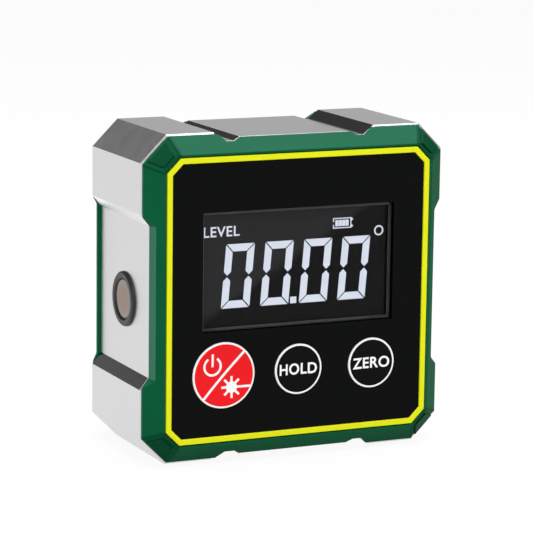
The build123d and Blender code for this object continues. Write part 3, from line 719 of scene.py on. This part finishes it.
class ANGLEMETER_OT_finish_face(bpy.types.Operator):
    """Give the face sheet, the display and the keys their finishes"""

    bl_idname = "angle_meter.finish_face"
    bl_label = "Finish Face"

    def execute(self, context):
        dress(finish_once(face_sheet), "front_panel")
        dress(finish_once(black_print), "panel_mask")
        dress(finish_once(display_glass), "lcd_panel")
        dress(finish_once(lit_crystal), "display_digits")
        dress(finish_once(red_keycap), "power_key")
        dress(finish_once(black_keycap), "hold_key", "zero_key")
        dress(finish_once(white_inlay), "power_key_inlay", "hold_key_ring", "zero_key_ring", "lcd_backlight")
        dress(finish_once(black_abs), "lcd_holder")
        return {"FINISHED"}


class ANGLEMETER_OT_finish_inside(bpy.types.Operator):
    """Give the board, switches, cells and contacts their finishes"""

    bl_idname = "angle_meter.finish_inside"
    bl_label = "Finish Inside"

    def execute(self, context):
        dress(finish_once(solder_mask), "circuit_board")
        dress(finish_once(black_abs), "board_chips", "tilt_sensor", "switch_housings")
        dress(finish_once(white_inlay), "power_switch_plunger", "hold_switch_plunger", "zero_switch_plunger")
        dress(finish_once(nickel_plate), "board_screws", "battery_contacts", "battery_springs", "lcd_pins")
        dress(finish_once(printed_jacket), "battery_cell_left", "battery_cell_right")
        return {"FINISHED"}


class ANGLEMETER_OT_display_marks(bpy.types.Operator):
    """Build the display's word, battery sign and degree ring"""

    bl_idname = "angle_meter.display_marks"
    bl_label = "Display Marks"

    def execute(self, context):
        marks = context.scene.meter_marks
        glow = finish_once(lit_crystal)
        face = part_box("lcd_panel")[0].y
        word = word_mark(
            "word_level", "LEVEL", marks.level_left, marks.level_low, marks.level_width,
            marks.level_height, 0.012, face)
        place(word, glow, "housing")
        ring = flat_mark("mark_degree", [
            ring_loop(marks.degree_x, marks.degree_z, marks.degree_radius),
            ring_loop(marks.degree_x, marks.degree_z, marks.degree_radius - 0.28 * MM)], face)
        place(ring, glow, "housing")
        place(self.battery(marks, face, glow), glow, "housing")
        return {"FINISHED"}

    def battery(self, marks, face, glow):
        """An outline with a gap in its left end, two terminals and filled bars."""
        x0, z0 = marks.battery_left, marks.battery_low
        x1, z1 = x0 + marks.battery_width, z0 + marks.battery_height
        t = 0.19 * MM
        gap = marks.battery_height * 0.14
        middle = (z0 + z1) / 2
        nub = marks.battery_height * 0.16
        tip = 0.42 * MM
        upper = [
            (x0, middle + gap), (x0 + t, middle + gap), (x0 + t, z1 - t), (x1 - t, z1 - t),
            (x1 - t, middle + nub), (x1, middle + nub), (x1 + tip, middle + 2 * nub),
            (x1, middle + 3 * nub), (x1, z1), (x0, z1)]
        lower = [(x, 2 * middle - z) for x, z in upper][::-1]
        link = bar(x1 - t, middle - nub, x1, middle + nub)
        shell = flat_mark("battery_shell", [upper, lower, link], face)
        inner = 0.48 * MM
        pitch = (x1 - x0 - 2 * inner) / marks.battery_bars
        one = flat_mark("battery_bar", [
            bar(x0 + inner, z0 + inner * 0.85, x0 + inner + pitch - 0.07 * MM, z1 - inner * 0.85)], face)
        bars = repeated("battery_bars", one, row_tree(), Count=marks.battery_bars,
                        Step=(pitch, 0.0, 0.0), Material=glow)
        return joined("sign_battery", [shell, bars])


class ANGLEMETER_OT_key_legends(bpy.types.Operator):
    """Build the words and signs on the three keys"""

    bl_idname = "angle_meter.key_legends"
    bl_label = "Key Legends"

    def execute(self, context):
        marks = context.scene.meter_marks
        ink = finish_once(white_inlay)
        for body, text in (("hold_key", "HOLD"), ("zero_key", "ZERO")):
            key = key_face(body + "_ring")
            word = word_mark(
                "legend_" + text.lower(), text, key["x"] - marks.legend_width / 2,
                key["z"] - marks.legend_height / 2, marks.legend_width, marks.legend_height, 0.022, key["y"])
            sink_into_dish(word, key)
            place(word, ink, body)
        key = key_face("power_key_inlay")
        for sign in (self.power_sign(marks, key), self.beam_sign(marks, key, ink)):
            sink_into_dish(sign, key)
            place(sign, ink, "power_key")
        return {"FINISHED"}

    def power_sign(self, marks, key):
        """An open ring with an upright bar in its gap."""
        x, z = key["x"] - 2.18 * MM, key["z"] + 1.76 * MM
        half = marks.line / 2
        return flat_mark("legend_power", [
            arc_stroke(x, z, 1.62 * MM, marks.line, 122, 418),
            bar(x - half, z - 0.1 * MM, x + half, z + 2.3 * MM)], key["y"])

    def beam_sign(self, marks, key, ink):
        """A disc with rays, and one ray drawn out to the key's ring."""
        x, z = key["x"] + 1.6 * MM, key["z"] - 2.3 * MM
        half = marks.line / 2
        disc = flat_mark("burst_disc", [ring_loop(x, z, marks.burst_disc)], key["y"])
        start = x + marks.burst_disc - 0.06 * MM
        ray = flat_mark("burst_ray", [bar(start, z - half, x + marks.burst_reach, z + half)], key["y"])
        rays = repeated("burst_rays", ray, wheel_tree(), Count=marks.burst_rays,
                        Centre=(x, 0.0, z), Material=ink)
        reach = (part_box("power_key_inlay")[1].x - key["x"]) - 0.4 * MM
        edge = key["x"] + math.sqrt(reach ** 2 - (z - key["z"]) ** 2)
        beam = flat_mark("burst_beam", [
            bar(x + marks.burst_reach - 0.06 * MM, z - half, edge, z + half)], key["y"])
        return joined("legend_beam", [disc, rays, beam])


class ANGLEMETER_OT_board_details(bpy.types.Operator):
    """Build the solder joints on the circuit board"""

    bl_idname = "angle_meter.board_details"
    bl_label = "Board Details"

    def execute(self, context):
        tin = finish_once(tinned_solder)
        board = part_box("circuit_board")
        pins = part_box("lcd_pins")
        first = Vector((pins[0].x + 0.25 * MM, board[1].y, (pins[0].z + pins[1].z) / 2))
        joint = self.dome("solder_joint", first)
        row = repeated("solder_joints", joint, row_tree(), Count=12,
                       Step=((pins[1].x - pins[0].x - 0.5 * MM) / 11, 0.0, 0.0), Material=tin)
        place(row, tin, "housing")
        return {"FINISHED"}

    def dome(self, name, at):
        """A small domed joint on the board's back."""
        made = bmesh.new()
        bmesh.ops.create_uvsphere(made, u_segments=10, v_segments=6, radius=0.5 * MM)
        for v in made.verts:
            v.co.y = max(v.co.y, 0.0) * 0.9
            v.co += at
        mesh = bpy.data.meshes.new(name)
        bmesh.ops.remove_doubles(made, verts=made.verts, dist=0.001 * MM)
        made.to_mesh(mesh)
        made.free()
        return mesh


class ANGLEMETER_OT_stage(bpy.types.Operator):
    """Lay the pale floor, hang the lamps and set the camera"""

    bl_idname = "angle_meter.stage"
    bl_label = "Stage"

    def execute(self, context):
        studio = context.scene.meter_studio
        context.scene.view_settings.view_transform = "Standard"
        self.floor(context, studio)
        self.room(context, studio)
        self.lamp(context, "top_softbox", (0.05, 0.0, 0.62), (0.0, 0.0, 0.03), 0.5, studio.top_lamp)
        self.lamp(context, "front_softbox", (-0.35, -0.75, 0.62), (0.0, 0.0, 0.03), 0.6, studio.front_lamp)
        camera = bpy.data.objects.new("camera", bpy.data.cameras.new("camera"))
        camera.data.lens = studio.lens
        camera.data.clip_start = 0.01
        camera.data.clip_end = 50.0
        camera.location = studio.camera_at
        camera.rotation_euler = studio.camera_turn
        context.scene.collection.objects.link(camera)
        context.scene.camera = camera
        return {"FINISHED"}

    def seen(self, tree):
        """1 for the rays that look at the room: the camera's, and those that
        metal and glass send on."""
        path = add(tree, "ShaderNodeLightPath")
        first = add(tree, "ShaderNodeMath", {"operation": "MAXIMUM"}, {
            0: path.outputs["Is Camera Ray"], 1: path.outputs["Is Glossy Ray"]})
        both = add(tree, "ShaderNodeMath", {"operation": "MAXIMUM"}, {
            0: first.outputs["Value"], 1: path.outputs["Is Transmission Ray"]})
        return both.outputs["Value"]

    def floor(self, context, studio):
        """A white paper floor, open from below, that keeps a weak shadow."""
        half = studio.floor_span / 2
        mesh = bpy.data.meshes.new("floor")
        corners = [(-half, -half, 0), (half, -half, 0), (half, half, 0), (-half, half, 0)]
        mesh.from_pydata(corners, [], [(0, 1, 2, 3)])
        floor = bpy.data.objects.new("floor", mesh)
        context.scene.collection.objects.link(floor)
        floor.location.z = -0.02 * MM
        paper, tree, shader = new_finish(
            "white_paper", (0.9, 0.9, 0.9, 1.0), Roughness=0.9, Specular_IOR_Level=0.0)
        glow = add(tree, "ShaderNodeEmission", None, {"Color": (1.0, 1.0, 1.0, 1.0), "Strength": 1.0})
        shown = add(tree, "ShaderNodeMixShader", None, {0: 0.1, 1: glow.outputs[0], 2: shader.outputs[0]})
        bounce = add(tree, "ShaderNodeBsdfDiffuse", None, {"Color": (0.55, 0.55, 0.55, 1.0)})
        both = add(tree, "ShaderNodeMixShader", None, {
            0: self.seen(tree), 1: bounce.outputs[0], 2: shown.outputs[0]})
        side = add(tree, "ShaderNodeNewGeometry")
        clear = add(tree, "ShaderNodeBsdfTransparent")
        whole = add(tree, "ShaderNodeMixShader", None, {
            0: side.outputs["Backfacing"], 1: both.outputs[0], 2: clear.outputs[0]})
        tree.links.new(whole.outputs[0], tree.nodes["Material Output"].inputs["Surface"])
        mesh.materials.append(paper)

    def room(self, context, studio):
        """A plain even room. Metal and glass see it pale along the horizon and
        dim above, as in a studio with a dark ceiling."""
        world = bpy.data.worlds.new("room")
        world.use_nodes = True
        tree = world.node_tree
        where = add(tree, "ShaderNodeTexCoord")
        parts = add(tree, "ShaderNodeSeparateXYZ", None, {"Vector": where.outputs["Generated"]})
        ramp = add(tree, "ShaderNodeValToRGB", None, {"Fac": parts.outputs["Z"]})
        stops = ramp.color_ramp.elements
        stops[0].position, stops[0].color = 0.0, (0.9, 0.9, 0.9, 1.0)
        stops[1].position, stops[1].color = 0.34, (0.1, 0.1, 0.1, 1.0)
        middle = stops.new(0.2)
        middle.color = (0.62, 0.62, 0.62, 1.0)
        plain = add(tree, "ShaderNodeRGB")
        plain.outputs[0].default_value = (studio.ambient, studio.ambient, studio.ambient, 1.0)
        mix = add(tree, "ShaderNodeMix", {"data_type": "RGBA"}, {
            0: self.seen(tree), 6: plain.outputs[0], 7: ramp.outputs["Color"]})
        path = add(tree, "ShaderNodeLightPath")
        behind = add(tree, "ShaderNodeMix", {"data_type": "RGBA"}, {
            0: path.outputs["Is Camera Ray"], 6: mix.outputs[2], 7: (1.0, 1.0, 1.0, 1.0)})
        back = tree.nodes["Background"]
        tree.links.new(behind.outputs[2], back.inputs["Color"])
        context.scene.world = world

    def lamp(self, context, name, at, towards, size, power):
        lamp = bpy.data.objects.new(name, bpy.data.lights.new(name, "AREA"))
        lamp.data.shape = "SQUARE"
        lamp.data.size = size
        lamp.data.energy = power
        lamp.location = at
        lamp.rotation_euler = (Vector(towards) - Vector(at)).to_track_quat("-Z", "Y").to_euler()
        context.scene.collection.objects.link(lamp)


class ANGLEMETER_PT_panel(bpy.types.Panel):
    bl_idname = "ANGLEMETER_PT_panel"
    bl_label = "Angle Meter"
    bl_space_type = "VIEW_3D"
    bl_region_type = "UI"
    bl_category = "Angle Meter"

    def draw(self, context):
        for operator in OPERATORS:
            self.layout.operator(operator.bl_idname)
        for group in (context.scene.meter_finishes, context.scene.meter_marks, context.scene.meter_studio):
            box = self.layout.box()
            for name in group.__annotations__:
                box.prop(group, name)


OPERATORS = (
    ANGLEMETER_OT_finish_housing,
    ANGLEMETER_OT_finish_face,
    ANGLEMETER_OT_finish_inside,
    ANGLEMETER_OT_display_marks,
    ANGLEMETER_OT_key_legends,
    ANGLEMETER_OT_board_details,
    ANGLEMETER_OT_stage,
)
GROUPS = {"meter_finishes": MeterFinishes, "meter_marks": MeterMarks, "meter_studio": MeterStudio}


def register():
    for cls in (*GROUPS.values(), *OPERATORS, ANGLEMETER_PT_panel):
        bpy.utils.register_class(cls)
    for name, group in GROUPS.items():
        setattr(bpy.types.Scene, name, PointerProperty(type=group))


def unregister():
    for name in GROUPS:
        delattr(bpy.types.Scene, name)
    for cls in (ANGLEMETER_PT_panel, *reversed(OPERATORS), *GROUPS.values()):
        bpy.utils.unregister_class(cls)


def main():
    register()
    bpy.ops.angle_meter.finish_housing()
    bpy.ops.angle_meter.finish_face()
    bpy.ops.angle_meter.finish_inside()
    bpy.ops.angle_meter.display_marks()
    bpy.ops.angle_meter.key_legends()
    bpy.ops.angle_meter.board_details()
    bpy.ops.angle_meter.stage()


if __name__ == "__main__":
    main()
